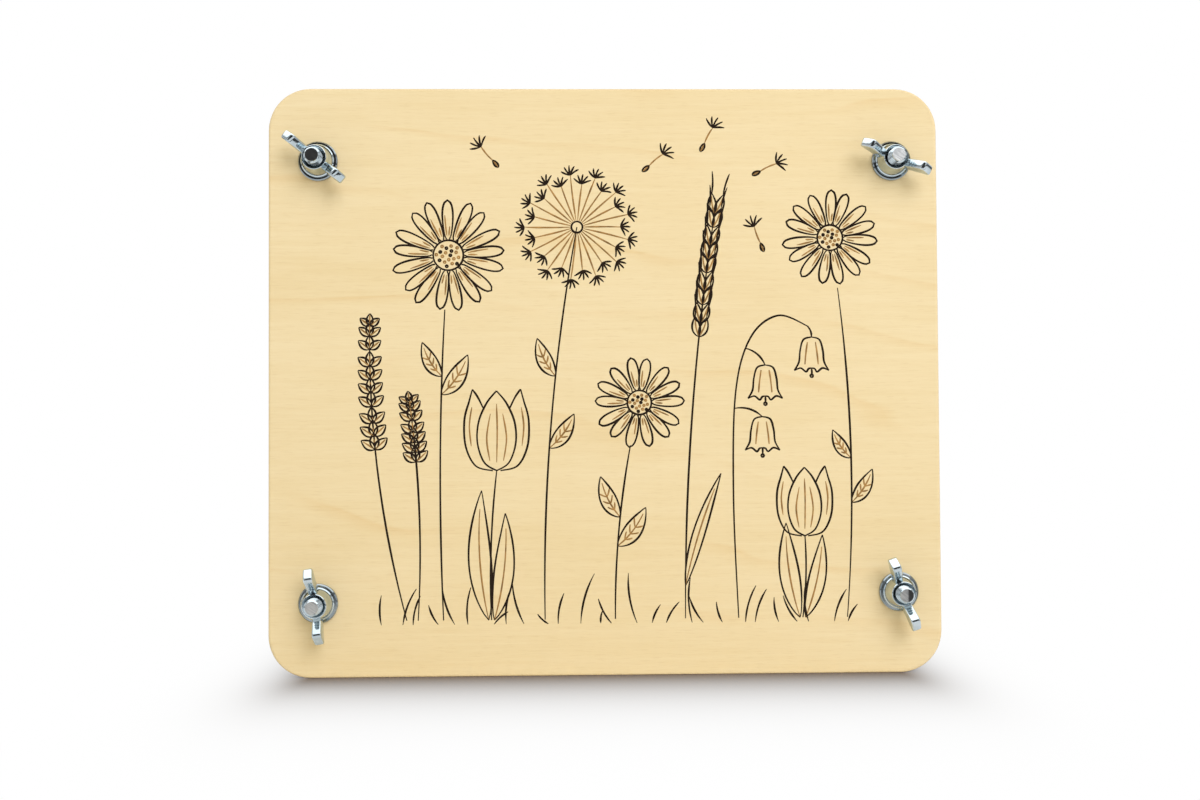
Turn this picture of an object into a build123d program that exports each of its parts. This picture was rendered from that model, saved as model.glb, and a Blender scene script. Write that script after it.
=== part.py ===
from build123d import *
import math
import os

# A flower press: two plywood boards drawn together by four bolts with wing nuts,
# over a stack of corrugated cards and blotting-paper sheets.
# It stands upright on the lower edges of its boards. Lengths are in millimetres.
# Each piece is drawn as seen from the front: x to the right, y up, and z towards
# the viewer, counted from the back face of the back board. press_frame then stands
# it up in the shared frame: +X right, +Y from front to back, +Z up.

# Boards
board_width = 240.0
board_height = 210.0
board_thickness = 9.0
board_corner_radius = 15.0
board_edge_round = 1.0

# Bolt places, from the edges of the boards to the axes of the bolts
bolt_side_margin = 17.8
bolt_end_margin = 26.4
upper_right_shift_out = 1.1
lower_right_shift_out = 2.2
lower_right_shift_up = 2.6

# Coach bolts
thread_diameter = 6.0
bolt_hole_clearance = 0.5
bolt_end_reach = 3.7
bolt_end_chamfer = 0.7
bolt_head_diameter = 16.0
bolt_head_height = 3.4
bolt_head_rim = 0.8
bolt_neck_width = 6.4
bolt_neck_length = 4.0

# Washers
washer_diameter = 14.0
washer_thickness = 1.4
washer_hole_clearance = 0.3
washer_edge_bevel = 0.4

# Wing nuts; the tip and the peak of a wing are placed before they are rounded
nut_base_diameter = 10.9
nut_top_diameter = 8.6
nut_hub_height = 6.4
nut_foot_height = 0.9
nut_hub_bevel = 0.2
nut_thread_clearance = 0.1
nut_countersink_diameter = 7.8
nut_wing_thickness = 3.4
nut_wing_bevel = 0.4
nut_wing_low = 0.4
nut_wing_high = 3.7
nut_tip_reach = 14.0
nut_tip_height = 6.4
nut_tip_radius = 0.9
nut_peak_reach = 9.7
nut_peak_height = 10.1
nut_peak_radius = 0.5
wing_angles = {
    "upper_left": -38.5,
    "upper_right": -23.5,
    "lower_left": -81.0,
    "lower_right": -71.0,
}

# Sheets between the boards
sheet_inset = 5.0
sheet_bolt_clearance = 2.0
card_count = 5
card_thickness = 3.0
card_liner = 0.4
flute_pitch = 7.8
flute_flat = 1.6
flute_wall = 0.45
blotters_per_gap = 2
blotter_thickness = 0.7

# Sizes that follow from those above
thread_radius = thread_diameter / 2
stack_thickness = card_count * card_thickness + (card_count - 1) * blotters_per_gap * blotter_thickness
front_board_back = board_thickness + stack_thickness
front_face = front_board_back + board_thickness
nut_seat = front_face + washer_thickness
bolt_length = nut_seat + nut_hub_height + bolt_end_reach
sheet_width = board_width - 2 * sheet_inset
sheet_height = board_height - 2 * sheet_inset
corner_clip_across = bolt_side_margin - sheet_inset
corner_clip_up = bolt_end_margin + lower_right_shift_up - sheet_inset
corner_clip = corner_clip_across + corner_clip_up + math.sqrt(2) * (thread_radius + sheet_bolt_clearance)
front_reach = max(nut_seat + nut_peak_height, bolt_length)
middle_depth = (front_reach - bolt_head_height) / 2
press_frame = Plane(origin=(0, middle_depth, 0), x_dir=(1, 0, 0), z_dir=(0, -1, 0))

bolt_across = board_width / 2 - bolt_side_margin
bolt_high = board_height - bolt_end_margin
bolt_places = {
    "upper_left": (-bolt_across, bolt_high),
    "upper_right": (bolt_across + upper_right_shift_out, bolt_high),
    "lower_left": (-bolt_across, bolt_end_margin),
    "lower_right": (bolt_across + lower_right_shift_out, bolt_end_margin + lower_right_shift_up),
}


# A board without its neck pockets, its back face at z = 0
def make_board():
    outline = Pos(0, board_height / 2) * RectangleRounded(board_width, board_height, board_corner_radius)
    board = extrude(outline, board_thickness)
    faces = board.faces().sort_by(Axis.Z)
    board = fillet(faces[0].edges() + faces[-1].edges(), board_edge_round)
    hole_radius = thread_radius + bolt_hole_clearance
    for x, y in bolt_places.values():
        board -= Pos(x, y) * Cylinder(hole_radius, board_thickness, align=(Align.CENTER, Align.CENTER, Align.MIN))
    return board


# The back board also has square pockets that the bolt necks are drawn into
def make_back_board():
    board = make_board()
    pocket = Box(bolt_neck_width, bolt_neck_width, bolt_neck_length, align=(Align.CENTER, Align.CENTER, Align.MIN))
    for x, y in bolt_places.values():
        board -= Pos(x, y) * pocket
    return board


# A coach bolt: domed head behind z = 0, square neck, then the thread's outside
def make_bolt():
    head_radius = bolt_head_diameter / 2
    rise = bolt_head_height - bolt_head_rim
    dome_radius = (head_radius ** 2 + rise ** 2) / (2 * rise)
    half_radius = head_radius / 2
    half_drop = dome_radius - math.sqrt(dome_radius ** 2 - half_radius ** 2)
    shank = Polyline(
        (0, -bolt_head_height),
        (0, bolt_length),
        (thread_radius - bolt_end_chamfer, bolt_length),
        (thread_radius, bolt_length - bolt_end_chamfer),
        (thread_radius, 0),
        (head_radius, 0),
        (head_radius, -bolt_head_rim),
    )
    dome = ThreePointArc(
        (head_radius, -bolt_head_rim),
        (half_radius, half_drop - bolt_head_height),
        (0, -bolt_head_height),
    )
    bolt = revolve(Plane.XZ * make_face(shank + dome), Axis.Z)
    neck = Box(bolt_neck_width, bolt_neck_width, bolt_neck_length, align=(Align.CENTER, Align.CENTER, Align.MIN))
    return bolt + neck


# A stamped washer, its back face at z = 0
def make_washer():
    washer = Cylinder(washer_diameter / 2, washer_thickness, align=(Align.CENTER, Align.CENTER, Align.MIN))
    rim = washer.faces().sort_by(Axis.Z)[-1].edges()
    washer = chamfer(rim, washer_edge_bevel)
    hole_radius = thread_radius + washer_hole_clearance
    return washer - Cylinder(hole_radius, washer_thickness, align=(Align.CENTER, Align.CENTER, Align.MIN))


# One wing, standing in the plane of x and z: a shoulder slopes up from the hub to the
# peak, from which the ear slopes down to the tip
def make_wing():
    root = nut_top_diameter / 4
    edge = FilletPolyline(
        (root, nut_wing_low),
        (nut_tip_reach, nut_tip_height),
        (nut_peak_reach, nut_peak_height),
        (root, nut_wing_high),
        radius=(0, nut_tip_radius, nut_peak_radius, 0),
        close=True,
    )
    wing = extrude(Plane.XZ * make_face(edge), nut_wing_thickness / 2, both=True)
    faces = wing.faces().sort_by(Axis.Y)
    return chamfer(faces[0].edges() + faces[-1].edges(), nut_wing_bevel)


# A wing nut, its seat at z = 0 and its wings along x
def make_wing_nut():
    base_radius = nut_base_diameter / 2
    top_radius = nut_top_diameter / 2
    bore_radius = thread_radius + nut_thread_clearance
    sink_radius = nut_countersink_diameter / 2
    sink_depth = sink_radius - bore_radius
    hub_outline = Polyline(
        (0, 0),
        (base_radius, 0),
        (base_radius, nut_foot_height),
        (top_radius, nut_hub_height),
        (0, nut_hub_height),
        close=True,
    )
    hub = revolve(Plane.XZ * make_face(hub_outline), Axis.Z)
    hub = chamfer(hub.faces().sort_by(Axis.Z)[-1].edges(), nut_hub_bevel)
    wing = make_wing()
    nut = hub + wing + mirror(wing, about=Plane.YZ)
    bore_outline = Polyline(
        (0, 0),
        (bore_radius, 0),
        (bore_radius, nut_hub_height - sink_depth),
        (sink_radius, nut_hub_height),
        (sink_radius, nut_peak_height),
        (0, nut_peak_height),
        close=True,
    )
    return nut - revolve(Plane.XZ * make_face(bore_outline), Axis.Z)


# The outline that all sheets share: corners clipped clear of the bolts
def make_sheet_outline():
    blank = Rectangle(sheet_width, sheet_height)
    return Pos(0, board_height / 2) * chamfer(blank.vertices(), corner_clip)


# A blotting-paper sheet, its back face at z = 0
def make_blotter():
    return extrude(make_sheet_outline(), blotter_thickness)


# A corrugated card, its back face at z = 0, with hollow flutes that run along x
def make_card():
    flutes = int(sheet_height / flute_pitch)
    pitch = sheet_height / flutes
    inner_half = flute_flat / 2
    outer_half = pitch / 2 - inner_half - flute_wall
    low = card_liner
    high = card_thickness - card_liner
    section = Rectangle(sheet_height, card_thickness, align=(Align.MIN, Align.MIN))
    hollows = []
    for flute in range(flutes):
        middle = flute * pitch + pitch / 2
        front_hollow = Polyline(
            (middle - inner_half, low + flute_wall),
            (middle + inner_half, low + flute_wall),
            (middle + outer_half, high),
            (middle - outer_half, high),
            close=True,
        )
        hollows.append(make_face(front_hollow))
    for flute in range(1, flutes):
        middle = flute * pitch
        back_hollow = Polyline(
            (middle - outer_half, low),
            (middle + outer_half, low),
            (middle + inner_half, high - flute_wall),
            (middle - inner_half, high - flute_wall),
            close=True,
        )
        hollows.append(make_face(back_hollow))
    across = Plane(origin=(0, sheet_inset, 0), x_dir=(0, 1, 0), z_dir=(1, 0, 0))
    core = extrude(across * (section - hollows), sheet_width / 2, both=True)
    return core & extrude(make_sheet_outline(), card_thickness)


pieces = {
    "back_board": make_back_board(),
    "front_board": Pos(0, 0, front_board_back) * make_board(),
}

bolt = make_bolt()
washer = make_washer()
wing_nut = make_wing_nut()
for corner, (x, y) in bolt_places.items():
    pieces["bolt_" + corner] = Pos(x, y) * bolt
    pieces["washer_" + corner] = Pos(x, y, front_face) * washer
    pieces["wing_nut_" + corner] = Pos(x, y, nut_seat) * Rot(0, 0, wing_angles[corner]) * wing_nut

card = make_card()
blotter = make_blotter()
depth = board_thickness
blotters_made = 0
for card_number in range(1, card_count + 1):
    pieces["card_" + str(card_number)] = Pos(0, 0, depth) * card
    depth += card_thickness
    if card_number < card_count:
        for _ in range(blotters_per_gap):
            blotters_made += 1
            pieces["blotter_" + str(blotters_made)] = Pos(0, 0, depth) * blotter
            depth += blotter_thickness

os.makedirs("parts", exist_ok=True)
for name, piece in pieces.items():
    placed = press_frame.location * piece
    placed.label = name
    export_step(placed, "parts/" + name + ".step")
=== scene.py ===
import math

import bmesh
import bpy
from mathutils import Matrix, Vector


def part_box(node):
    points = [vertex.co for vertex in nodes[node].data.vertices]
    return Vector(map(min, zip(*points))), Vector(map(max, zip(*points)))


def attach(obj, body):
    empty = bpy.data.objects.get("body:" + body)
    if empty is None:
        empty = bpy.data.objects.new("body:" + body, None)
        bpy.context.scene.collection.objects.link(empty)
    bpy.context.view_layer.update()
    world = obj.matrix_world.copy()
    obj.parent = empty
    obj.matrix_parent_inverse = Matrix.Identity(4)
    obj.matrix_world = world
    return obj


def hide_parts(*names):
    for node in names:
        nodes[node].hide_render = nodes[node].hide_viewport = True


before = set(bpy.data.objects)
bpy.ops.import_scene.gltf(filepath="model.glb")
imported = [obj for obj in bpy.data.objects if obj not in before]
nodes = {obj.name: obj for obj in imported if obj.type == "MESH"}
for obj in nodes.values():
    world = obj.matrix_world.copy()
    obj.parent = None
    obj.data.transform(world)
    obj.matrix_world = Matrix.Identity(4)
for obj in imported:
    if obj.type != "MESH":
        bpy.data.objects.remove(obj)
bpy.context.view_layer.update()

# The looks of a flower press: finishes for its boards, sheets and washers, threaded bolts and cast
# wing nuts in place of the plain ones, line art on the front board, and the studio round it.
# Lengths are in metres, written in millimetres times mm, and angles in degrees.
mm = 0.001
corners = ("upper_left", "upper_right", "lower_left", "lower_right")
right_angle = 90
full_turn = 360
white = (1.0, 1.0, 1.0)
black = (0.0, 0.0, 0.0)

# Camera
camera_place = (-11.4 * mm, -443.85 * mm, 88.3 * mm)
camera_turn = (91.293, 0.319, -1.24)
camera_lens = 36.0
camera_sensor = 36.0
camera_near = 10 * mm

# Light: a key from the right, a warm sky in front and a whiter one behind
key_place = (750 * mm, -1700 * mm, 1350 * mm)
key_aim = (0.0, 0.0, 110 * mm)
key_size = 1400 * mm
key_power = 27.0
key_colour = (1.0, 1.06, 1.22)
sky_front = (0.53, 0.5, 0.37)
sky_behind = (0.83, 0.84, 0.84)
sky_shares = (0.0, 0.5)

# Floor, with a shadow painted in near the press, which stands on the straight stretch between its boards'
# corners
floor_size = 6000 * mm
board_corner = 15 * mm
floor_pale = (0.85, 0.85, 0.85)
# Painted shadow: the dark colour that camera rays see on the floor near the press, fading into white with
# the distance
floor_painted_shadow = (0.232, 0.195, 0.178)
floor_fade_side = 11.2 * mm
floor_fade_front = 29 * mm
floor_fade_curve = 1.22
floor_roughness = 0.9

# What the metal mirrors: brightness at shares of the height, the dark side where the viewer stands, and a
# painted reflection, a dark band in the floor's glow that only the metal sees
room_bands = ((0.0, 0.12), (0.05, 0.35), (0.12, 0.75), (0.4, 0.85), (0.5, 0.3), (0.57, 0.4), (0.62, 1.9))
room_dark_shares = (0.79, 0.86)
room_dark = 0.05
room_unevenness = 0.12
room_noise = dict(waves=(2.2, 2.2, 2.2), detail=1.0, space="Generated")
mirrored_dark_band_span = (-205 * mm, -190 * mm)
mirrored_pale_band_span = (-300 * mm, -270 * mm)

# Shaders; noises have their waves per metre along X, Y and Z, and never fewer than the fewest
usual_specular = 0.5
noise_middle = 0.5
fewest_waves = 0.001

# Veneer of the plywood
plywood_roughness = 0.55
plywood_specular = 0.3
veneer_pale = (0.9, 0.728, 0.445)
veneer_deep = (0.852, 0.665, 0.37)
fibre_noise = dict(waves=(40, 40, 1000), detail=5.0)
fleck_noise = dict(waves=(190, 190, 2300), detail=3.0)
band_noise = dict(waves=(2.4, 2.4, 30), detail=3.0, distortion=0.4, turn=1.5)
cloud_noise = dict(waves=(12, 12, 34), detail=2.0, turn=-3.0)
grain_mix_shares = (0.4, 0.34, 0.26)
grain_shares = (0.36, 0.62)
fleck_tone = (0.955, 0.935, 0.9)
fleck_shares = (0.3, 0.46)
grain_bump = 0.12 * mm
grain_bump_share = 0.1
fleck_bump_share = 0.6

# Growth rings in the veneer
ring_spacing = 27 * mm
ring_slant_share = 0.1
ring_wander = 3.2
ring_wander_noise = dict(waves=(5, 5, 15), detail=3.0)
ring_tone = (0.965, 0.915, 0.84)
ring_shares = (0.36, 0.5, 0.54)
ring_patch_noise = dict(waves=(11, 11, 24), detail=2.0)
ring_patch_shares = (0.46, 0.62)

# Plies at the edges of the boards
ply_count = 7
ply_pale = (0.78, 0.58, 0.33)
ply_deep = (0.5, 0.32, 0.15)
ply_pores = (0.6, 0.48, 0.36)
ply_shares = (0.02, 0.5, 0.56, 0.96)
ply_wander_share = 0.12
ply_wander_noise = dict(waves=(60, 0, 60), detail=2.0)
pore_noise = dict(waves=(420, 900, 420), detail=3.0)
pore_shares = (0.3, 0.62)
pore_strength_share = 0.6
face_normal_share = 0.6

# Zinc
zinc_dull = (0.46, 0.545, 0.585)
zinc_bright = (0.63, 0.7, 0.735)
zinc_shares = (0.3, 0.7)
zinc_cloud_noise = dict(waves=(260, 260, 260), detail=3.0)
zinc_speck_noise = dict(waves=(1400, 1400, 1400), detail=2.0)
zinc_gloss_shares = (0.07, 0.04)
zinc_bump = 0.1 * mm
zinc_bump_shares = (1.0, 0.25)
zinc_finishes = {
    "zinc_plate": dict(roughness=0.05, unevenness=0.05, tone_share=0.55),
    "zinc_casting": dict(roughness=0.03, unevenness=0.2, tone_share=1.0),
    "zinc_thread": dict(roughness=0.12, unevenness=0.05, tone_share=1.0),
}

# Sheared ends of the bolts, with painted reflections: the tones of their left and right halves stand in for
# what each end mirrors
bolt_end_roughness = 0.4
bolt_end_metal_share = 0.15
bolt_end_reflection_tones = {
    "upper_left": (0.03, 0.03),
    "upper_right": (0.95, 0.95),
    "lower_left": (0.5, 0.5),
    "lower_right": (0.42, 0.03),
}
bolt_end_blend = 0.8 * mm
scored_tone = (0.55, 0.56, 0.58)
score_noise = dict(waves=(300, 300, 1700), detail=2.0, turn=35.0)
smear_noise = dict(waves=(150, 150, 150), detail=1.0)
score_mix_shares = (0.55, 0.45)
score_shares = (0.4, 0.6)
score_bump_share = 0.5

# Card and paper
paper_bump = 0.08 * mm
paper_shares = (0.3, 0.7)
kraft = dict(
    roughness=0.85,
    specular=0.2,
    deep=(0.33, 0.19, 0.085),
    pale=(0.5, 0.315, 0.155),
    fibre=dict(waves=(120, 500, 500), detail=5.0),
    patch=dict(waves=(40, 40, 90), detail=3.0),
    mix_shares=(0.6, 0.4),
    bump_share=0.25,
)
blotting = dict(
    roughness=0.95,
    specular=0.1,
    deep=(0.7, 0.66, 0.57),
    pale=(0.84, 0.81, 0.73),
    fibre=dict(waves=(900, 900, 900), detail=4.0),
    patch=dict(waves=(70, 70, 70), detail=3.0),
    mix_shares=(0.5, 0.5),
    bump_share=0.35,
)

# Bolts
thread_radius = 3.0 * mm
thread_depth = 0.6 * mm
thread_pitch = 1.0 * mm
thread_steps = 20
thread_spare_turns = 2
thread_root_share = 0.25
thread_crest_shares = (0.5625, 0.6875)
bolt_end_chamfer = 0.7 * mm
bolt_end_slot = 1
bolt_head_radius = 8.0 * mm
bolt_head_rim = 0.8 * mm
bolt_head_height = 3.4 * mm
bolt_dome_steps = 12
bolt_head_steps = 48
bolt_neck_width = 6.4 * mm
bolt_neck_length = 4.0 * mm
bolt_sharp_angle = 38
weld = 0.002 * mm

# Wing nuts, their outlines as millimetres from the axis and up from the seat
nut_hub_outline = (
    (3.1, 0.0),
    (5.75, 0.0),
    (5.9, 0.15),
    (5.9, 0.55),
    (5.55, 0.9),
    (4.34, 6.2),
    (4.14, 6.4),
    (3.9, 6.4),
    (3.1, 5.6),
)
nut_hub_steps = 72
nut_wing_outline = ((3.6, 1.1), (14.0, 6.4), (9.7, 10.1), (3.6, 4.4))
nut_tip_cut = 1.4 * mm
nut_peak_cut = 1.5 * mm
nut_cut_steps = 6
nut_wing_thickness = 3.4 * mm
nut_wing_round = 0.7 * mm
nut_round_steps = 4
round_profile = 0.5
same_material = -1
nut_flank_share = 0.9
nut_flat_area = 4 * mm * mm
nut_sharp_angle = 32
nut_turns = {"upper_left": -38.5, "upper_right": -23.5, "lower_left": -81.0, "lower_right": -71.0}

# Pen for the line art
line_width = 0.8 * mm
vein_width = 0.66 * mm
line_flatness_share = 0.08
line_colour = (0.016, 0.009, 0.005)
vein_colour = (0.33, 0.18, 0.06)
scorch_roughness = 0.75
scorch_specular = 0.15
scorch_noise = dict(waves=(420, 420, 420), detail=3.0)
scorch_shares = (0.3, 0.7)
scorch_tone_shares = (0.7, 1.5)
pen_fineness = 1
pen_taper_share = 0.25
pen_wobble_share = 0.12
pen_wobble_rate = 7.0
pen_wobble_step = 1.7
firm_share = 0.75
even_share = 0.55
light_share = 0.4

# Plants, in millimetres right of the board's middle and up from its lower edge
ground = 20.0
stem_steps = 60
long_stem_steps = 90
short_steps = 6
curve_steps = 8
ring_steps = 28
lavenders = (
    dict(root=-71, tip=(-84, 126), bow=0.07, whorls=10),
    dict(root=-67, tip=(-70, 98), bow=-0.05, whorls=7),
)
daisies = (
    dict(root=-58, head=(-56, 150), bow=0.03, radius=20, petals=17, leaves=((0.62, 1, 17), (0.66, -1, 14))),
    dict(root=3, head=(12, 97), bow=0.06, radius=16, petals=14, leaves=((0.34, 1, 17), (0.46, -1, 16))),
    dict(root=86, head=(81, 156), bow=-0.06, radius=17, petals=15, leaves=((0.3, 1, 14), (0.42, -1, 12))),
)
tulips = (
    dict(root=-41, foot=(-39, 73), height=29, width=22, bow=0.04, leaves=((103, 46, 8), (74, 38, 7))),
    dict(root=70, foot=(71, 49), height=25, width=19, bow=-0.05, leaves=((108, 34, 7), (68, 30, 6))),
)
clocks = (
    dict(root=-22, head=(-10, 160), bow=0.05, radius=20, rays=26, leaves=((0.44, 1, 15), (0.62, -1, 15))),
)
grass_ears = (
    dict(root=28, tip=(40, 168), bow=0.04, grains=9, blade=(78, 42, 4.2)),
)
bell_arch = ((47, 20), (45.5, 62), (46.5, 100), (52, 120), (62, 128), (73, 124))
bells = ((0.36, (10, -3), 12), (0.55, (7, -6), 12), (1.0, (1.5, -4), 12))
drifting_seeds = ((16, 182, 40), (36, 190, 62), (56, 180, 25), (56, 154, 110), (-40, 184, 130))

# Leaves
leaf_steps = 20
leaf_fullness = 0.85
leaf_bluntness = 0.9
leaf_vein_share = 0.86
leaf_vein_steps = 14
side_vein_first_share = 0.2
side_vein_spread_share = 0.5
side_vein_reach_share = 0.36
side_vein_rise_share = 0.14
side_vein_bow = 0.08
stem_leaf_angle = 48
stem_leaf_curl = 16
stem_leaf_width_share = 0.36
stem_leaf_veins = 3

# Daisies
petal_steps = 16
petal_fullness = 0.6
petal_roundness = 5
petal_width_share = 0.5
petal_foot_share = 0.12
daisy_stem_share = 0.97
daisy_disc_share = 0.27
daisy_petal_share = 0.8
daisy_broad_share = 0.68
daisy_foot_share = 1.06
daisy_sway = 2.5
daisy_sway_rate = 2.4
daisy_uneven_share = 0.04
daisy_uneven_rate = 3.1
daisy_vein_angles = (3, 4)
daisy_vein_foot_share = 1.3
daisy_vein_tip_share = 0.62
daisy_vein_uneven_share = 0.1
daisy_vein_bow = 0.02
daisy_seeds = 19
daisy_seed_turn = 137.5
daisy_seed_spread_share = 0.82
daisy_seed_share = 0.055
daisy_seed_least = 0.12
daisy_seed_steps = 7
daisy_seed_rhythm = 3

# Tulips, as shares of their width and height
tulip_stem_steps = 24
tulip_leaf_curl = 10
tulip_front_shares = ((0.0, 0.0), (0.2, 0.1), (0.31, 0.34), (0.29, 0.6), (0.16, 0.83), (0.0, 0.98))
tulip_outer_shares = ((0.06, 0.0), (0.34, 0.06), (0.5, 0.3), (0.52, 0.62), (0.44, 0.86), (0.39, 1.0))
tulip_inner_shares = ((0.39, 1.0), (0.3, 0.9), (0.21, 0.76))
tulip_front_vein_shares = ((0.11, 0.12), (0.16, 0.4), (0.1, 0.7))
tulip_outer_vein_shares = ((0.41, 0.3), (0.44, 0.55), (0.4, 0.78))
tulip_middle_vein_shares = ((0.0, 0.1), (0.01, 0.5), (0.0, 0.82))

# Lavender
lavender_gap_share = 0.047
lavender_bud = 4.4
lavender_bud_growth = 0.5
lavender_bud_width_share = 0.52
lavender_bud_angles = (-52, 0, 52)

# Dandelion clock and its drifting seeds
tuft_angles = (-62, -31, 0, 31, 62)
tuft_bow = 0.1
tuft_steps = 5
tuft_ends_share = 0.45
clock_heart_share = 0.1
clock_ray_shares = (0.12, 0.78)
clock_ray_uneven_share = 0.16
clock_ray_bow = 0.02
clock_tuft_share = 0.18
seed_stalk = 6.5
seed_stalk_bow = 0.08
seed_stalk_steps = 8
seed_stalk_ends_share = 0.5
seed_back = -3.2
seed_length = 3.4
seed_width = 1.3
seed_tuft = 4.2

# Ear of grass
blade_share = 0.08
blade_curl = -6
grain_gap_share = 0.038
grain_angle = 30
grain_length = 7.4
grain_width = 2.9
grain_curl = -14
bristle_angle = 8
bristle_length = 8.0
bristle_bow = -0.06

# Bellflower, as shares of a bell's size
bell_arch_steps = 12
bell_stalk_bow = 0.25
bell_stalk_steps = 8
bell_ends_share = 0.7
bell_wall_shares = ((0.0, 0.0), (0.24, -0.08), (0.34, -0.4), (0.38, -0.75), (0.52, -1.0))
bell_lip_shares = ((0.52, -1.0), (0.33, -0.93), (0.17, -1.04), (0.09, -0.95), (0.0, -0.93))
bell_vein_shares = ((0.12, -0.15), (0.17, -0.5), (0.2, -0.82))
pistil_shares = (0.93, 1.16)
pistil_bow = 0.05
pistil_steps = 4
pistil_ends_share = 0.6
pistil_head_share = 0.045
pistil_head_steps = 8

# Grass along the ground
grass_tufts = 27
grass_first = -80.0
grass_step = 6.4
grass_drift = 1.6
grass_drift_rate = 2.3
grass_lean = 5
grass_lean_rate = 1.3
grass_height = 9
grass_waves = ((5, 1.9), (3, 4.1))
grass_foot = 1.5
grass_bow = 0.12
grass_steps = 10
grass_ends_share = 0.35

# Places of the colour sockets on Blender's mix node
mix_first_socket = 6
mix_second_socket = 7
mix_result_socket = 2


# Makes an object of a mesh and links it to the scene
def add_object(name, data):
    obj = bpy.data.objects.new(name, data)
    bpy.context.scene.collection.objects.link(obj)
    return obj


# Makes an object of a bmesh and frees it
def add_shape(name, shape):
    mesh = bpy.data.meshes.new(name)
    shape.to_mesh(mesh)
    shape.free()
    return add_object(name, mesh)


# The mesh of a curve object once its settings are worked out
def finished_mesh(obj, name):
    graph = bpy.context.evaluated_depsgraph_get()
    mesh = bpy.data.meshes.new_from_object(obj.evaluated_get(graph))
    mesh.name = name
    bpy.data.objects.remove(obj)
    return mesh


# Gives an object one material in place of what it has
def dress(obj, material):
    obj.data.materials.clear()
    obj.data.materials.append(material)


# A colour with one level in all its channels
def grey(level):
    return (level, level, level)


# Short ways to lay out the nodes of a material or of the surroundings
class NodeSheet:
    def __init__(self, tree):
        self.tree = tree
        self.place = self.add("ShaderNodeTexCoord")

    def add(self, kind, **settings):
        made = self.tree.nodes.new(kind)
        for key, value in settings.items():
            setattr(made, key, value)
        return made

    def link(self, source, target):
        self.tree.links.new(source, target)

    def feed(self, target, value):
        if hasattr(value, "is_output"):
            self.link(value, target)
        else:
            target.default_value = value

    def math(self, operation, first, second=0.0):
        made = self.add("ShaderNodeMath", operation=operation)
        self.feed(made.inputs[0], first)
        self.feed(made.inputs[1], second)
        return made.outputs[0]

    def split(self, space="Object"):
        made = self.add("ShaderNodeSeparateXYZ")
        self.link(self.place.outputs[space], made.inputs[0])
        return made.outputs

    def noise(self, waves, detail, distortion=0.0, turn=0.0, space="Object"):
        mapping = self.add("ShaderNodeMapping", vector_type="TEXTURE")
        mapping.inputs["Scale"].default_value = [1 / max(count, fewest_waves) for count in waves]
        mapping.inputs["Rotation"].default_value = (0, math.radians(turn), 0)
        self.link(self.place.outputs[space], mapping.inputs["Vector"])
        made = self.add("ShaderNodeTexNoise")
        made.inputs["Scale"].default_value = 1.0
        made.inputs["Detail"].default_value = detail
        made.inputs["Distortion"].default_value = distortion
        self.link(mapping.outputs["Vector"], made.inputs["Vector"])
        return made.outputs["Fac"]

    def blend(self, values, weights):
        total = 0.0
        for value, weight in zip(values, weights):
            total = self.math("ADD", self.math("MULTIPLY", value, weight), total)
        return total

    def ramp(self, factor, places, colours):
        made = self.add("ShaderNodeValToRGB")
        elements = made.color_ramp.elements
        while len(elements) < len(places):
            elements.new(1.0)
        for element, place, colour in zip(elements, places, colours):
            element.position = place
            element.color = (*colour, 1.0)
        self.link(factor, made.inputs["Fac"])
        return made.outputs["Color"]

    def between(self, value, span):
        made = self.add("ShaderNodeMapRange", interpolation_type="SMOOTHSTEP")
        self.link(value, made.inputs["Value"])
        made.inputs["From Min"].default_value, made.inputs["From Max"].default_value = span
        return made.outputs["Result"]

    def mix(self, factor, first, second, blend="MIX"):
        made = self.add("ShaderNodeMix", data_type="RGBA", blend_type=blend)
        self.feed(made.inputs["Factor"], factor)
        self.feed(made.inputs[mix_first_socket], first)
        self.feed(made.inputs[mix_second_socket], second)
        return made.outputs[mix_result_socket]

    def seen(self):
        path = self.add("ShaderNodeLightPath")
        straight = self.math("MAXIMUM", path.outputs["Is Camera Ray"], path.outputs["Is Transmission Ray"])
        return straight, path.outputs["Is Glossy Ray"]


# A material's sheet of nodes, with its shader at hand
class Finish(NodeSheet):
    def __init__(self, name, roughness, specular=usual_specular, metal_share=0.0):
        self.material = bpy.data.materials.new(name)
        self.material.use_nodes = True
        super().__init__(self.material.node_tree)
        self.shader = self.tree.nodes["Principled BSDF"]
        self.shader.inputs["Roughness"].default_value = roughness
        self.shader.inputs["Specular IOR Level"].default_value = specular
        self.shader.inputs["Metallic"].default_value = metal_share

    def colour(self, value):
        self.link(value, self.shader.inputs["Base Color"])

    def bump(self, height, strength, distance):
        made = self.add("ShaderNodeBump")
        made.inputs["Strength"].default_value = strength
        made.inputs["Distance"].default_value = distance
        self.link(height, made.inputs["Height"])
        self.link(made.outputs["Normal"], self.shader.inputs["Normal"])


# Quiet grain along X with growth rings that show in patches
def lay_veneer(sheet, spot, fibre, fleck):
    band = sheet.noise(**band_noise)
    cloud = sheet.noise(**cloud_noise)
    grain = sheet.blend((fibre, band, cloud), grain_mix_shares)
    face = sheet.ramp(grain, grain_shares, (veneer_deep, veneer_pale))
    face = sheet.mix(1.0, face, sheet.ramp(fleck, fleck_shares, (fleck_tone, white)), "MULTIPLY")
    wander = sheet.noise(**ring_wander_noise)
    ring_weights = (1 / ring_spacing, ring_slant_share / ring_spacing, ring_wander)
    ring = sheet.math("FRACT", sheet.blend((spot["Z"], spot["X"], wander), ring_weights))
    ring = sheet.ramp(ring, ring_shares, (white, ring_tone, white))
    shown = sheet.ramp(sheet.noise(**ring_patch_noise), ring_patch_shares, (black, white))
    return sheet.mix(shown, face, sheet.mix(1.0, face, ring, "MULTIPLY"))


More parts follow.
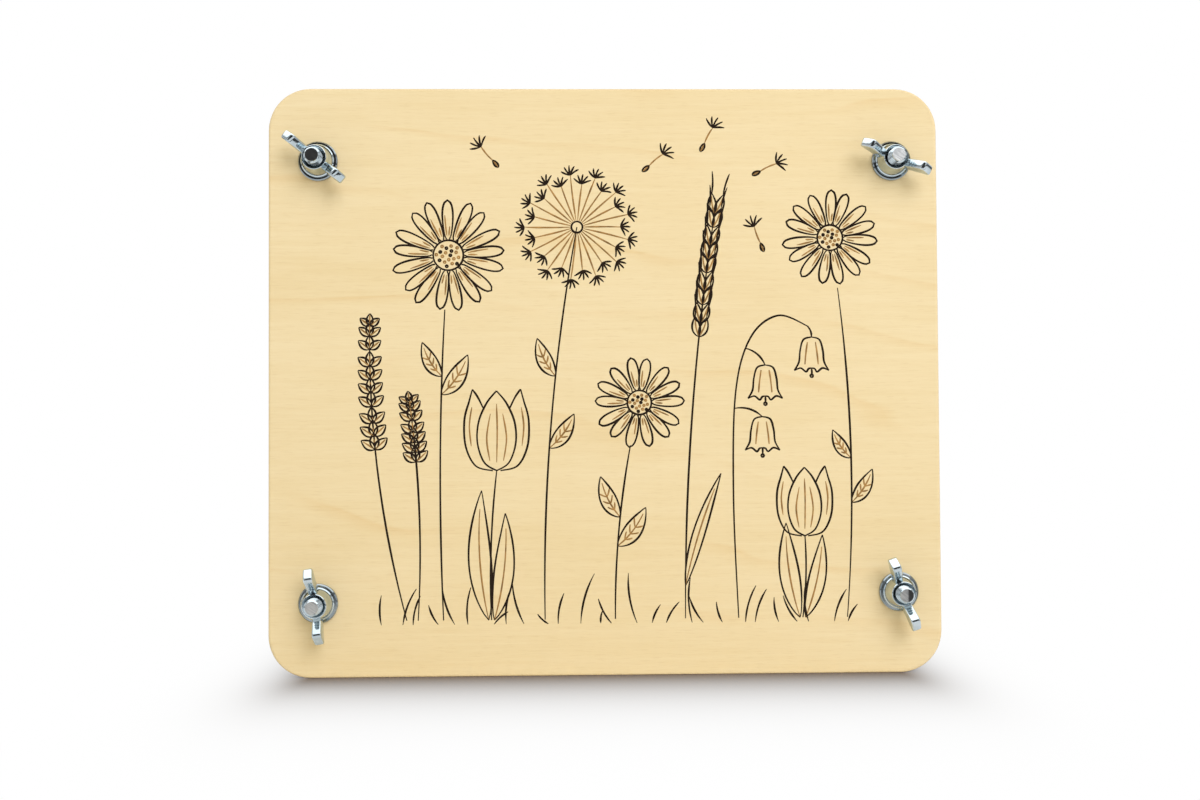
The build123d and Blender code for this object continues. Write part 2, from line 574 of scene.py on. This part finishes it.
# Plies in section, in pairs of a pale one and a dark one
def lay_plies(sheet, spot, low, high):
    pair_depth = 2 * (high.y - low.y) / ply_count
    layer = sheet.math("DIVIDE", sheet.math("SUBTRACT", spot["Y"], low.y), pair_depth)
    wander = sheet.noise(**ply_wander_noise)
    phase = sheet.math("FRACT", sheet.blend((layer, wander), (1.0, ply_wander_share)))
    plies = sheet.ramp(phase, ply_shares, (ply_pale, ply_pale, ply_deep, ply_deep))
    pores = sheet.ramp(sheet.noise(**pore_noise), pore_shares, (ply_pores, white))
    return sheet.mix(pore_strength_share, plies, pores, "MULTIPLY")


# Pale plywood: veneer on the faces, plies on the edges
def make_plywood(board):
    sheet = Finish("plywood_" + board, plywood_roughness, plywood_specular)
    spot = sheet.split()
    fibre = sheet.noise(**fibre_noise)
    fleck = sheet.noise(**fleck_noise)
    face = lay_veneer(sheet, spot, fibre, fleck)
    plies = lay_plies(sheet, spot, *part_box(board))
    facing = sheet.math("ABSOLUTE", sheet.split("Normal")["Y"])
    on_face = sheet.math("GREATER_THAN", facing, face_normal_share)
    sheet.colour(sheet.mix(on_face, plies, face))
    sheet.bump(sheet.blend((fibre, fleck), (1.0, fleck_bump_share)), grain_bump_share, grain_bump)
    return sheet.material


# Bright zinc plate, a little uneven
def make_zinc(name, roughness, unevenness, tone_share):
    sheet = Finish(name, roughness, metal_share=1.0)
    cloud = sheet.noise(**zinc_cloud_noise)
    speck = sheet.noise(**zinc_speck_noise)
    dull = [tone_share * channel for channel in zinc_dull]
    bright = [tone_share * channel for channel in zinc_bright]
    sheet.colour(sheet.ramp(cloud, zinc_shares, (dull, bright)))
    gloss = sheet.blend((cloud, speck), zinc_gloss_shares)
    sheet.link(sheet.math("ADD", gloss, roughness), sheet.shader.inputs["Roughness"])
    sheet.bump(sheet.blend((cloud, speck), zinc_bump_shares), unevenness, zinc_bump)
    return sheet.material


# Sheared steel of a bolt's end, scored one way, its halves toned as a painted reflection
def make_sheared(corner):
    low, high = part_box("bolt_" + corner)
    axis = (low.x + high.x) / 2
    sheet = Finish("sheared_end_" + corner, bolt_end_roughness, metal_share=bolt_end_metal_share)
    score = sheet.noise(**score_noise)
    smear = sheet.noise(**smear_noise)
    wear = sheet.ramp(sheet.blend((score, smear), score_mix_shares), score_shares, (scored_tone, white))
    side = sheet.between(sheet.split()["X"], (axis, axis + bolt_end_blend))
    # Painted reflection: black, grey or white halves in place of what the end mirrors
    reflection_tone = sheet.ramp(side, (0.0, 1.0), [grey(level) for level in bolt_end_reflection_tones[corner]])
    sheet.colour(sheet.mix(1.0, reflection_tone, wear, "MULTIPLY"))
    sheet.bump(score, score_bump_share, zinc_bump)
    return sheet.material


# Scorched line, uneven in tone
def make_scorch(name, colour):
    sheet = Finish(name, scorch_roughness, scorch_specular)
    tones = [[share * channel for channel in colour] for share in scorch_tone_shares]
    sheet.colour(sheet.ramp(sheet.noise(**scorch_noise), scorch_shares, tones))
    return sheet.material


# Card or paper with fibres and patches
def make_paper(name, roughness, specular, deep, pale, fibre, patch, mix_shares, bump_share):
    sheet = Finish(name, roughness, specular)
    fibres = sheet.noise(**fibre)
    patches = sheet.noise(**patch)
    sheet.colour(sheet.ramp(sheet.blend((fibres, patches), mix_shares), paper_shares, (deep, pale)))
    sheet.bump(fibres, bump_share, paper_bump)
    return sheet.material


# Adds a right-hand thread along Z, cut flat at both ends and chamfered at the far one
def cut_thread(shape, start, length):
    root = thread_radius - thread_depth
    turns = int(length / thread_pitch) + thread_spare_turns
    rise_shares = (0.0, thread_root_share, *thread_crest_shares, 1.0)
    reaches = (root, root, thread_radius, thread_radius, root)
    heights = [share * thread_pitch for share in rise_shares]
    profile = [shape.verts.new((reach, 0, height)) for reach, height in zip(reaches, heights)]
    edges = [shape.edges.new(pair) for pair in zip(profile, profile[1:])]
    bmesh.ops.spin(
        shape,
        geom=profile + edges,
        cent=(0, 0, 0),
        axis=(0, 0, 1),
        dvec=(0, 0, thread_pitch / thread_steps),
        angle=math.tau * turns,
        steps=thread_steps * turns,
    )
    bmesh.ops.remove_doubles(shape, verts=shape.verts, dist=weld)
    for height, normal in ((start, (0, 0, -1)), (length, (0, 0, 1))):
        bmesh.ops.bisect_plane(
            shape,
            geom=shape.verts[:] + shape.edges[:] + shape.faces[:],
            plane_co=(0, 0, height),
            plane_no=normal,
            clear_outer=True,
        )
    rims = [edge for edge in shape.edges if edge.is_boundary]
    caps = bmesh.ops.holes_fill(shape, edges=rims, sides=0)["faces"]
    end = max(caps, key=lambda face: face.calc_center_median().z)
    end.material_index = bolt_end_slot
    for vert in shape.verts:
        allowed = thread_radius - bolt_end_chamfer + length - vert.co.z
        reach = math.hypot(vert.co.x, vert.co.y)
        if reach > allowed:
            vert.co.x *= allowed / reach
            vert.co.y *= allowed / reach


# Turns an outline once round Z
def turn_round(shape, outline, steps):
    bmesh.ops.spin(
        shape, geom=outline, cent=(0, 0, 0), axis=(0, 0, 1), angle=math.tau, steps=steps, use_merge=True
    )


# Adds the square neck above Z = 0 and the domed head below it
def forge_head(shape):
    neck = bmesh.ops.create_cube(shape, size=1.0)["verts"]
    bmesh.ops.scale(shape, vec=(bolt_neck_width, bolt_neck_width, bolt_neck_length), verts=neck)
    bmesh.ops.translate(shape, vec=(0, 0, bolt_neck_length / 2), verts=neck)
    rise = bolt_head_height - bolt_head_rim
    dome = (bolt_head_radius ** 2 + rise ** 2) / (2 * rise)
    tip = shape.verts.new((0, 0, -bolt_head_height))
    arc = bmesh.ops.spin(
        shape,
        geom=[tip],
        cent=(0, 0, dome - bolt_head_height),
        axis=(0, -1, 0),
        angle=math.asin(bolt_head_radius / dome),
        steps=bolt_dome_steps,
    )["geom_last"]
    rim = bmesh.ops.extrude_vert_indiv(shape, verts=[arc[0]])["verts"]
    bmesh.ops.translate(shape, vec=(0, 0, bolt_head_rim), verts=rim)
    middle = bmesh.ops.extrude_vert_indiv(shape, verts=rim)["verts"]
    bmesh.ops.translate(shape, vec=(-bolt_head_radius, 0, 0), verts=middle)
    outline = [edge for edge in shape.edges if not edge.link_faces]
    points = list({vert for edge in outline for vert in edge.verts})
    turn_round(shape, points + outline, bolt_head_steps)


# A coach bolt with a real thread, in place of the plain rod
def make_bolt(corner, material, end_material):
    node = "bolt_" + corner
    low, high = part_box(node)
    shape = bmesh.new()
    cut_thread(shape, bolt_neck_length, high.y - low.y - bolt_head_height)
    forge_head(shape)
    bmesh.ops.remove_doubles(shape, verts=shape.verts, dist=weld)
    bmesh.ops.recalc_face_normals(shape, faces=shape.faces)
    seat = Vector(((low.x + high.x) / 2, high.y - bolt_head_height, (low.z + high.z) / 2))
    stand = Matrix.Translation(seat) @ Matrix.Rotation(math.radians(right_angle), 4, "X")
    bmesh.ops.transform(shape, matrix=stand, verts=shape.verts)
    bolt = add_shape("threaded_" + node, shape)
    bolt.data.shade_smooth()
    bolt.data.set_sharp_from_angle(angle=math.radians(bolt_sharp_angle))
    bolt.data.materials.append(material)
    bolt.data.materials.append(end_material)
    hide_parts(node)
    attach(bolt, "back")


# Adds the points of an outline in the plane of X and Z
def place_points(shape, outline):
    return [shape.verts.new((reach * mm, 0, height * mm)) for reach, height in outline]


# Adds the hub of a wing nut, standing along Z
def turn_hub(shape):
    points = place_points(shape, nut_hub_outline)
    edges = [shape.edges.new(pair) for pair in zip(points, points[1:] + points[:1])]
    turn_round(shape, points + edges, nut_hub_steps)


# Rounds corners or edges
def ease(shape, geom, offset, segments, affect):
    bmesh.ops.bevel(
        shape,
        geom=geom,
        offset=offset,
        offset_type="OFFSET",
        segments=segments,
        profile=round_profile,
        affect=affect,
        material=same_material,
    )


# Adds one wing along X, its tip and peak rounded and its edges eased
def cast_wing(shape):
    points = place_points(shape, nut_wing_outline)
    shape.faces.new(points)
    tip, peak = points[1:3]
    for point, cut in ((tip, nut_tip_cut), (peak, nut_peak_cut)):
        ease(shape, [point], cut, nut_cut_steps, "VERTICES")
    side = shape.faces[:]
    bmesh.ops.translate(shape, vec=(0, -nut_wing_thickness / 2, 0), verts=shape.verts)
    other = bmesh.ops.extrude_face_region(shape, geom=side, use_keep_orig=True)["geom"]
    moved = [item for item in other if isinstance(item, bmesh.types.BMVert)]
    bmesh.ops.translate(shape, vec=(0, nut_wing_thickness, 0), verts=moved)
    bmesh.ops.recalc_face_normals(shape, faces=shape.faces)
    flanks = [face for face in shape.faces if abs(face.normal.y) > nut_flank_share]
    rims = {edge for face in flanks for edge in face.edges}
    ease(shape, list(rims), nut_wing_round, nut_round_steps, "EDGES")


# A cast wing nut with eased edges, in place of the plain one
def make_wing_nut(corner, material):
    node = "wing_nut_" + corner
    shape = bmesh.new()
    cast_wing(shape)
    twin = bmesh.ops.duplicate(shape, geom=shape.verts[:] + shape.edges[:] + shape.faces[:])["geom"]
    turned = [item for item in twin if isinstance(item, bmesh.types.BMVert)]
    bmesh.ops.rotate(shape, cent=(0, 0, 0), matrix=Matrix.Rotation(math.pi, 3, "Z"), verts=turned)
    turn_hub(shape)
    bmesh.ops.remove_doubles(shape, verts=shape.verts, dist=weld)
    bmesh.ops.recalc_face_normals(shape, faces=shape.faces)
    low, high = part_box("washer_" + corner)
    seat = Matrix.Translation(((low.x + high.x) / 2, low.y, (low.z + high.z) / 2))
    turn = Matrix.Rotation(math.radians(nut_turns[corner]), 4, "Z")
    stand = seat @ Matrix.Rotation(math.radians(right_angle), 4, "X") @ turn
    bmesh.ops.transform(shape, matrix=stand, verts=shape.verts)
    for face in shape.faces:
        face.smooth = face.calc_area() < nut_flat_area
    nut = add_shape("cast_" + node, shape)
    nut.data.set_sharp_from_angle(angle=math.radians(nut_sharp_angle))
    dress(nut, material)
    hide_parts(node)
    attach(nut, "nut_" + corner)


# Pen strokes gathered on one curve, in millimetres on the board's face
class Pen:
    def __init__(self, name, width):
        self.curve = bpy.data.curves.new(name, "CURVE")
        self.curve.dimensions = "3D"
        self.curve.bevel_depth = width / 2
        self.curve.bevel_resolution = pen_fineness
        self.curve.use_fill_caps = True
        self.count = 0

    # One stroke through points; the pen presses less at the ends
    def stroke(self, points, ends_share=even_share, closed=False):
        spline = self.curve.splines.new("POLY")
        spline.points.add(len(points) - 1)
        last = len(points) - 1
        for index, (right, up) in enumerate(points):
            share = index / last
            inside_share = min(1.0, share / pen_taper_share, (1 - share) / pen_taper_share)
            press = 1.0 if closed else ends_share + (1 - ends_share) * inside_share
            press *= 1 + pen_wobble_share * math.sin(pen_wobble_rate * share + pen_wobble_step * self.count)
            spline.points[index].co = (right * mm, 0, up * mm, 1)
            spline.points[index].radius = press
        spline.use_cyclic_u = closed
        self.count += 1

    # Turns the strokes into a thin inlay on the face at a depth
    def finish(self, depth, material):
        name = self.curve.name
        mesh = finished_mesh(add_object(name, self.curve), name)
        mesh.transform(Matrix.Translation((0, depth, 0)) @ Matrix.Diagonal((1, line_flatness_share, 1, 1)))
        inlay = add_object(name, mesh)
        dress(inlay, material)
        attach(inlay, "front")


# Even shares from nothing to the whole
def shares(steps):
    return [step / steps for step in range(steps + 1)]


# The place at a distance and an angle from another
def out(place, angle, distance):
    turn = math.radians(angle)
    return (place[0] + distance * math.cos(turn), place[1] + distance * math.sin(turn))


# The place among others that their weights give
def weighted(weights, places):
    return [sum(weight * value for weight, value in zip(weights, values)) for values in zip(*places)]


# Points along a bowed line from one place to another
def bowed(start, end, bow, steps):
    across = (start[1] - end[1], end[0] - start[0])
    middle = [(first + last) / 2 + bow * aside for first, last, aside in zip(start, end, across)]
    points = []
    for share in shares(steps):
        weights = ((1 - share) ** 2, 2 * share * (1 - share), share ** 2)
        points.append(weighted(weights, (start, middle, end)))
    return points


# A smooth line through a few places
def rounded(places, steps=curve_steps):
    points = []
    last = len(places) - 1
    for index in range(last):
        trail = (places[max(index - 1, 0)], places[index], places[index + 1], places[min(index + 2, last)])
        for share in shares(steps)[: steps + (index == last - 1)]:
            weights = (
                (2 * share ** 2 - share ** 3 - share) / 2,
                (3 * share ** 3 - 5 * share ** 2 + 2) / 2,
                (4 * share ** 2 - 3 * share ** 3 + share) / 2,
                (share ** 3 - share ** 2) / 2,
            )
            points.append(weighted(weights, trail))
    return points


# A place on a line of points and the line's angle there
def on(line, share):
    index = min(round(share * (len(line) - 1)), len(line) - 2)
    (right, up), (next_right, next_up) = line[index], line[index + 1]
    return (right, up), math.degrees(math.atan2(next_up - up, next_right - right))


# A place along and beside a line that leaves base at an angle and curls
def beside(base, angle, length, curl, along, side):
    turn = angle + curl * along
    return out(out(base, turn, length * along), turn + right_angle, side)


# A pointed leaf with its mid vein and side veins
def leaf(pen, vein, base, angle, length, width, curl=0.0, side_veins=0):
    for side in (1, -1):
        edge = []
        for share in shares(leaf_steps):
            reach = width / 2 * math.sin(math.pi * share ** leaf_fullness) ** leaf_bluntness
            edge.append(beside(base, angle, length, curl, share, side * reach))
        pen.stroke(edge)
    heights = [leaf_vein_share * share for share in shares(leaf_vein_steps)]
    vein.stroke([beside(base, angle, length, curl, height, 0) for height in heights])
    for number in range(side_veins):
        along = side_vein_first_share + side_vein_spread_share * number / side_veins
        reach = side_vein_reach_share * width * math.sin(math.pi * along ** leaf_fullness)
        for side in (1, -1):
            start = beside(base, angle, length, curl, along, 0)
            end = beside(base, angle, length, curl, along + side_vein_rise_share, side * reach)
            vein.stroke(bowed(start, end, side_vein_bow * side, short_steps))


# Leaves along a stem: share of its height, side, length
def leaves_on(pen, vein, stem, leaves):
    for share, side, length in leaves:
        place, angle = on(stem, share)
        angle -= stem_leaf_angle * side
        width = stem_leaf_width_share * length
        leaf(pen, vein, place, angle, length, width, stem_leaf_curl * side, stem_leaf_veins)


# One round-tipped petal, open at its foot
def petal(pen, centre, angle, inner, outer, width):
    outline = []
    for step in range(-petal_steps, petal_steps + 1):
        share = 1 - abs(step) / petal_steps
        belly = math.sin(math.pi * share / 2) ** petal_fullness * math.sqrt(1 - share ** petal_roundness)
        reach = petal_width_share * width * belly + petal_foot_share * width * (1 - share)
        middle = out(centre, angle, inner + (outer - inner) * share)
        outline.append(out(middle, angle + right_angle, math.copysign(reach, step)))
    pen.stroke(outline, firm_share)


def ring(pen, centre, radius, steps=ring_steps):
    pen.stroke([out(centre, full_turn * share, radius) for share in shares(steps)[:-1]], closed=True)


# A daisy seen face on: narrow petals round a dotted disc
def daisy(pen, vein, root, head, bow, radius, petals, leaves):
    stem = bowed((root, ground), head, bow, stem_steps)
    pen.stroke([place for place in stem if math.dist(place, head) >= daisy_stem_share * radius])
    leaves_on(pen, vein, stem, leaves)
    disc = daisy_disc_share * radius
    width = daisy_petal_share * math.tau * daisy_broad_share * radius / petals
    for number in range(petals):
        angle = full_turn * (number + 0.5) / petals - right_angle
        angle += daisy_sway * math.sin(daisy_sway_rate * number)
        outer = radius * (1 + daisy_uneven_share * math.sin(daisy_uneven_rate * number))
        petal(pen, head, angle, disc * daisy_foot_share, outer, width)
        for side in (-1, 1):
            start_angle, end_angle = [angle + turn * side for turn in daisy_vein_angles]
            start = out(head, start_angle, disc * daisy_vein_foot_share)
            end = out(head, end_angle, radius * (daisy_vein_tip_share + daisy_vein_uneven_share * side))
            vein.stroke(bowed(start, end, daisy_vein_bow, short_steps), light_share)
    ring(pen, head, disc)
    for number in range(daisy_seeds):
        spread = disc * daisy_seed_spread_share * math.sqrt((number + 0.5) / daisy_seeds)
        spot = out(head, daisy_seed_turn * number, spread)
        tool = vein if number % daisy_seed_rhythm else pen
        ring(tool, spot, daisy_seed_share * disc + daisy_seed_least, daisy_seed_steps)


# A tulip: a cup of three petals and broad leaves from the ground
def tulip(pen, vein, root, foot, height, width, bow, leaves):
    pen.stroke(bowed((root, ground), foot, bow, tulip_stem_steps))
    for angle, length, breadth in leaves:
        lean = 1 if angle < right_angle else -1
        leaf(pen, vein, (root + lean, ground), angle, length, breadth, tulip_leaf_curl * lean)

    def trace(side, line):
        return rounded([(foot[0] + side * right * width, foot[1] + up * height) for right, up in line])

    for side in (1, -1):
        for line in (tulip_front_shares, tulip_outer_shares, tulip_inner_shares):
            pen.stroke(trace(side, line), firm_share)
        for line in (tulip_front_vein_shares, tulip_outer_vein_shares):
            vein.stroke(trace(side, line), light_share)
    vein.stroke(trace(1, tulip_middle_vein_shares), light_share)


# A lavender spike: whorls of small buds up the end of a stem
def lavender(pen, vein, root, tip, bow, whorls):
    stem = bowed((root, ground), tip, bow, long_stem_steps)
    pen.stroke(stem)
    for number in range(whorls):
        place, angle = on(stem, 1 - lavender_gap_share * number)
        size = lavender_bud + lavender_bud_growth * math.sqrt(number)
        for side in lavender_bud_angles:
            leaf(pen, vein, place, angle + side, size, lavender_bud_width_share * size)


# A tuft of short rays at the end of a seed's stalk
def tuft(pen, place, angle, size):
    for spread in tuft_angles:
        end = out(place, angle + spread, size)
        pen.stroke(bowed(place, end, tuft_bow, tuft_steps), tuft_ends_share)


# A dandelion clock: stalks that end in small tufts
def clock(pen, vein, root, head, bow, radius, rays, leaves):
    stem = bowed((root, ground), head, bow, stem_steps)
    pen.stroke(stem)
    leaves_on(pen, vein, stem, leaves)
    ring(pen, head, clock_heart_share * radius)
    foot_share, tip_share = clock_ray_shares
    for number in range(rays):
        angle = full_turn * (number + 0.5) / rays - right_angle
        start = out(head, angle, foot_share * radius)
        end = out(head, angle, radius * (tip_share + clock_ray_uneven_share * (number % 2)))
        vein.stroke(bowed(start, end, clock_ray_bow, seed_stalk_steps), seed_stalk_ends_share)
        tuft(pen, end, angle, clock_tuft_share * radius)


# A seed on the wind
def drifting_seed(pen, vein, right, up, angle):
    foot = (right, up)
    end = out(foot, angle, seed_stalk)
    vein.stroke(bowed(foot, end, seed_stalk_bow, seed_stalk_steps), seed_stalk_ends_share)
    leaf(pen, vein, out(foot, angle, seed_back), angle, seed_length, seed_width)
    tuft(pen, end, angle, seed_tuft)


# An ear of grass: grains on both sides of the stem, each with a fine bristle
def grass_ear(pen, vein, root, tip, bow, grains, blade):
    stem = bowed((root, ground), tip, bow, long_stem_steps)
    pen.stroke(stem)
    angle, length, breadth = blade
    leaf(pen, vein, on(stem, blade_share)[0], angle, length, breadth, blade_curl)
    for number in range(grains):
        place, upward = on(stem, 1 - grain_gap_share * (number + 0.5))
        for side in (-1, 1):
            angle = upward + grain_angle * side
            leaf(pen, vein, place, angle, grain_length, grain_width, grain_curl * side)
            start = beside(place, angle, grain_length, grain_curl * side, 1.0, 0)
            end = out(start, upward + bristle_angle * side, bristle_length)
            pen.stroke(bowed(start, end, bristle_bow * side, short_steps), light_share)


# A stem of hanging bells with scalloped mouths
def bellflower(pen, vein):
    stem = rounded(bell_arch, bell_arch_steps)
    pen.stroke(stem)
    lines = ((bell_wall_shares, pen), (bell_lip_shares, pen), (bell_vein_shares, vein))
    for share, (right, down), size in bells:
        place, _ = on(stem, share)
        top = (place[0] + right, place[1] + down)
        pen.stroke(bowed(place, top, bell_stalk_bow, bell_stalk_steps))
        for side in (1, -1):
            for line, tool in lines:
                points = [(top[0] + side * size * across, top[1] + size * up) for across, up in line]
                tool.stroke(rounded(points), bell_ends_share)
        start, end = [out(top, -right_angle, reach_share * size) for reach_share in pistil_shares]
        pen.stroke(bowed(start, end, pistil_bow, pistil_steps), pistil_ends_share)
        ring(pen, end, pistil_head_share * size, pistil_head_steps)


# Short blades of grass along the ground
def grass(pen):
    for number in range(grass_tufts):
        right = grass_first + grass_step * number + grass_drift * math.sin(grass_drift_rate * number)
        height = grass_height + sum(wave * math.sin(rate * number) for wave, rate in grass_waves)
        tip = (right + grass_lean * math.sin(grass_lean_rate * number), ground + height)
        pen.stroke(bowed((right, ground - grass_foot), tip, grass_bow, grass_steps), grass_ends_share)


# The meadow on the front board
def draw_meadow():
    pen = Pen("meadow_lines", line_width)
    vein = Pen("meadow_veins", vein_width)
    beds = (
        (lavender, lavenders),
        (daisy, daisies),
        (tulip, tulips),
        (clock, clocks),
        (grass_ear, grass_ears),
    )
    for draw, plants in beds:
        for plant in plants:
            draw(pen, vein, **plant)
    bellflower(pen, vein)
    for right, up, angle in drifting_seeds:
        drifting_seed(pen, vein, right, up, angle)
    grass(pen)
    face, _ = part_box("front_board")
    pen.finish(face.y, make_scorch("scorched_line", line_colour))
    vein.finish(face.y, make_scorch("scorched_vein", vein_colour))


# How far a place on the floor is from the boards, in shares of the reach of the painted shadow
def distance_from_boards(sheet, spot):
    low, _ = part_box("front_board")
    _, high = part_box("back_board")
    squares = []
    for axis, first, last, reach in (
        ("X", low.x + board_corner, high.x - board_corner, floor_fade_side),
        ("Y", low.y, high.y, floor_fade_front),
    ):
        before = sheet.math("SUBTRACT", first, spot[axis])
        after = sheet.math("SUBTRACT", spot[axis], last)
        outside = sheet.math("MAXIMUM", sheet.math("MAXIMUM", before, after), 0.0)
        share = sheet.math("DIVIDE", outside, reach)
        squares.append(sheet.math("MULTIPLY", share, share))
    return sheet.math("SQRT", sheet.math("ADD", *squares))


# Pale floor, darkened near the press by a painted shadow on top of the shadow it really gets, that runs
# into a white background
def make_floor():
    shape = bmesh.new()
    bmesh.ops.create_grid(shape, x_segments=1, y_segments=1, size=floor_size / 2)
    floor = add_shape("floor", shape)
    sheet = Finish("pale_floor", floor_roughness, 0.0)
    straight, glossy = sheet.seen()
    # Camera rays see the floor in the painted shadow's colour, while bounced light sees it pale
    sheet.colour(sheet.ramp(straight, (0.0, 1.0), (floor_pale, floor_painted_shadow)))
    spot = sheet.split()
    dimming = sheet.math("POWER", distance_from_boards(sheet, spot), floor_fade_curve)
    near = sheet.math("EXPONENT", sheet.math("MULTIPLY", dimming, -1.0))
    fade = sheet.math("SUBTRACT", 1.0, near)
    # Painted reflection: for glossy rays the floor glows, with a dark band across it that the camera never
    # sees
    before_band = sheet.between(spot["Y"], mirrored_dark_band_span)
    beyond_band = sheet.math("SUBTRACT", 1.0, sheet.between(spot["Y"], mirrored_pale_band_span))
    lit = sheet.math("MAXIMUM", before_band, beyond_band)
    painted_reflection = sheet.math("MAXIMUM", lit, room_dark)
    glow = sheet.add("ShaderNodeEmission")
    sheet.link(sheet.math("MAXIMUM", straight, painted_reflection), glow.inputs["Strength"])
    blend = sheet.add("ShaderNodeMixShader")
    sheet.link(sheet.math("MULTIPLY", fade, sheet.math("MAXIMUM", straight, glossy)), blend.inputs["Fac"])
    sheet.link(sheet.shader.outputs[0], blend.inputs[1])
    sheet.link(glow.outputs[0], blend.inputs[2])
    sheet.link(blend.outputs[0], sheet.tree.nodes["Material Output"].inputs["Surface"])
    dress(floor, sheet.material)


# White surroundings: plain light on the object, a room of bright and dark bands in the metal
def make_surroundings():
    world = bpy.data.worlds.new("studio")
    bpy.context.scene.world = world
    world.use_nodes = True
    sheet = NodeSheet(world.node_tree)
    background = sheet.tree.nodes["Background"]
    way = sheet.split("Generated")
    uneven = sheet.math("SUBTRACT", sheet.noise(**room_noise), noise_middle)
    height = sheet.blend((way["Z"], uneven), (1.0, room_unevenness))
    places, lights = zip(*room_bands)
    room = sheet.ramp(height, places, [grey(light) for light in lights])
    ahead = sheet.between(sheet.blend((way["Y"], uneven), (-1.0, room_unevenness)), room_dark_shares)
    room = sheet.math("MULTIPLY", room, sheet.math("SUBTRACT", 1.0, ahead))
    room = sheet.math("MAXIMUM", room, room_dark)
    straight, glossy = sheet.seen()
    rest = sheet.math("SUBTRACT", 1.0, sheet.math("MAXIMUM", straight, glossy))
    sky = sheet.ramp(sheet.between(way["Y"], sky_shares), (0.0, 1.0), (sky_front, sky_behind))
    sheet.link(sheet.mix(rest, (*white, 1.0), sky), background.inputs["Color"])
    plain = sheet.math("MAXIMUM", straight, rest)
    strength = sheet.math("ADD", plain, sheet.math("MULTIPLY", glossy, room))
    sheet.link(strength, background.inputs["Strength"])


# A large soft lamp that the metal doesn't mirror
def make_light():
    light = bpy.data.lights.new("key", "AREA")
    light.size = key_size
    light.energy = key_power
    light.color = key_colour
    lamp = add_object("key", light)
    lamp.visible_glossy = False
    lamp.location = key_place
    lamp.rotation_euler = (Vector(key_aim) - Vector(key_place)).to_track_quat("-Z", "Y").to_euler()


# A camera at the photograph's viewing angle
def make_camera():
    lens = bpy.data.cameras.new("camera")
    lens.sensor_fit = "HORIZONTAL"
    lens.sensor_width = camera_sensor
    lens.lens = camera_lens
    lens.clip_start = camera_near
    camera = add_object("camera", lens)
    camera.location = camera_place
    camera.rotation_euler = [math.radians(angle) for angle in camera_turn]
    bpy.context.scene.camera = camera


bpy.context.scene.view_settings.view_transform = "Standard"
zinc = {name: make_zinc(name, **values) for name, values in zinc_finishes.items()}
plain_finishes = {
    "card": make_paper("kraft_card", **kraft),
    "blotter": make_paper("blotting_paper", **blotting),
    "washer": zinc["zinc_plate"],
}
for name, node in nodes.items():
    kind = name.split("_")[0]
    if name.endswith("board"):
        dress(node, make_plywood(name))
    elif kind in plain_finishes:
        dress(node, plain_finishes[kind])
for corner in corners:
    make_bolt(corner, zinc["zinc_thread"], make_sheared(corner))
    make_wing_nut(corner, zinc["zinc_casting"])
draw_meadow()
make_floor()
make_surroundings()
make_light()
make_camera()
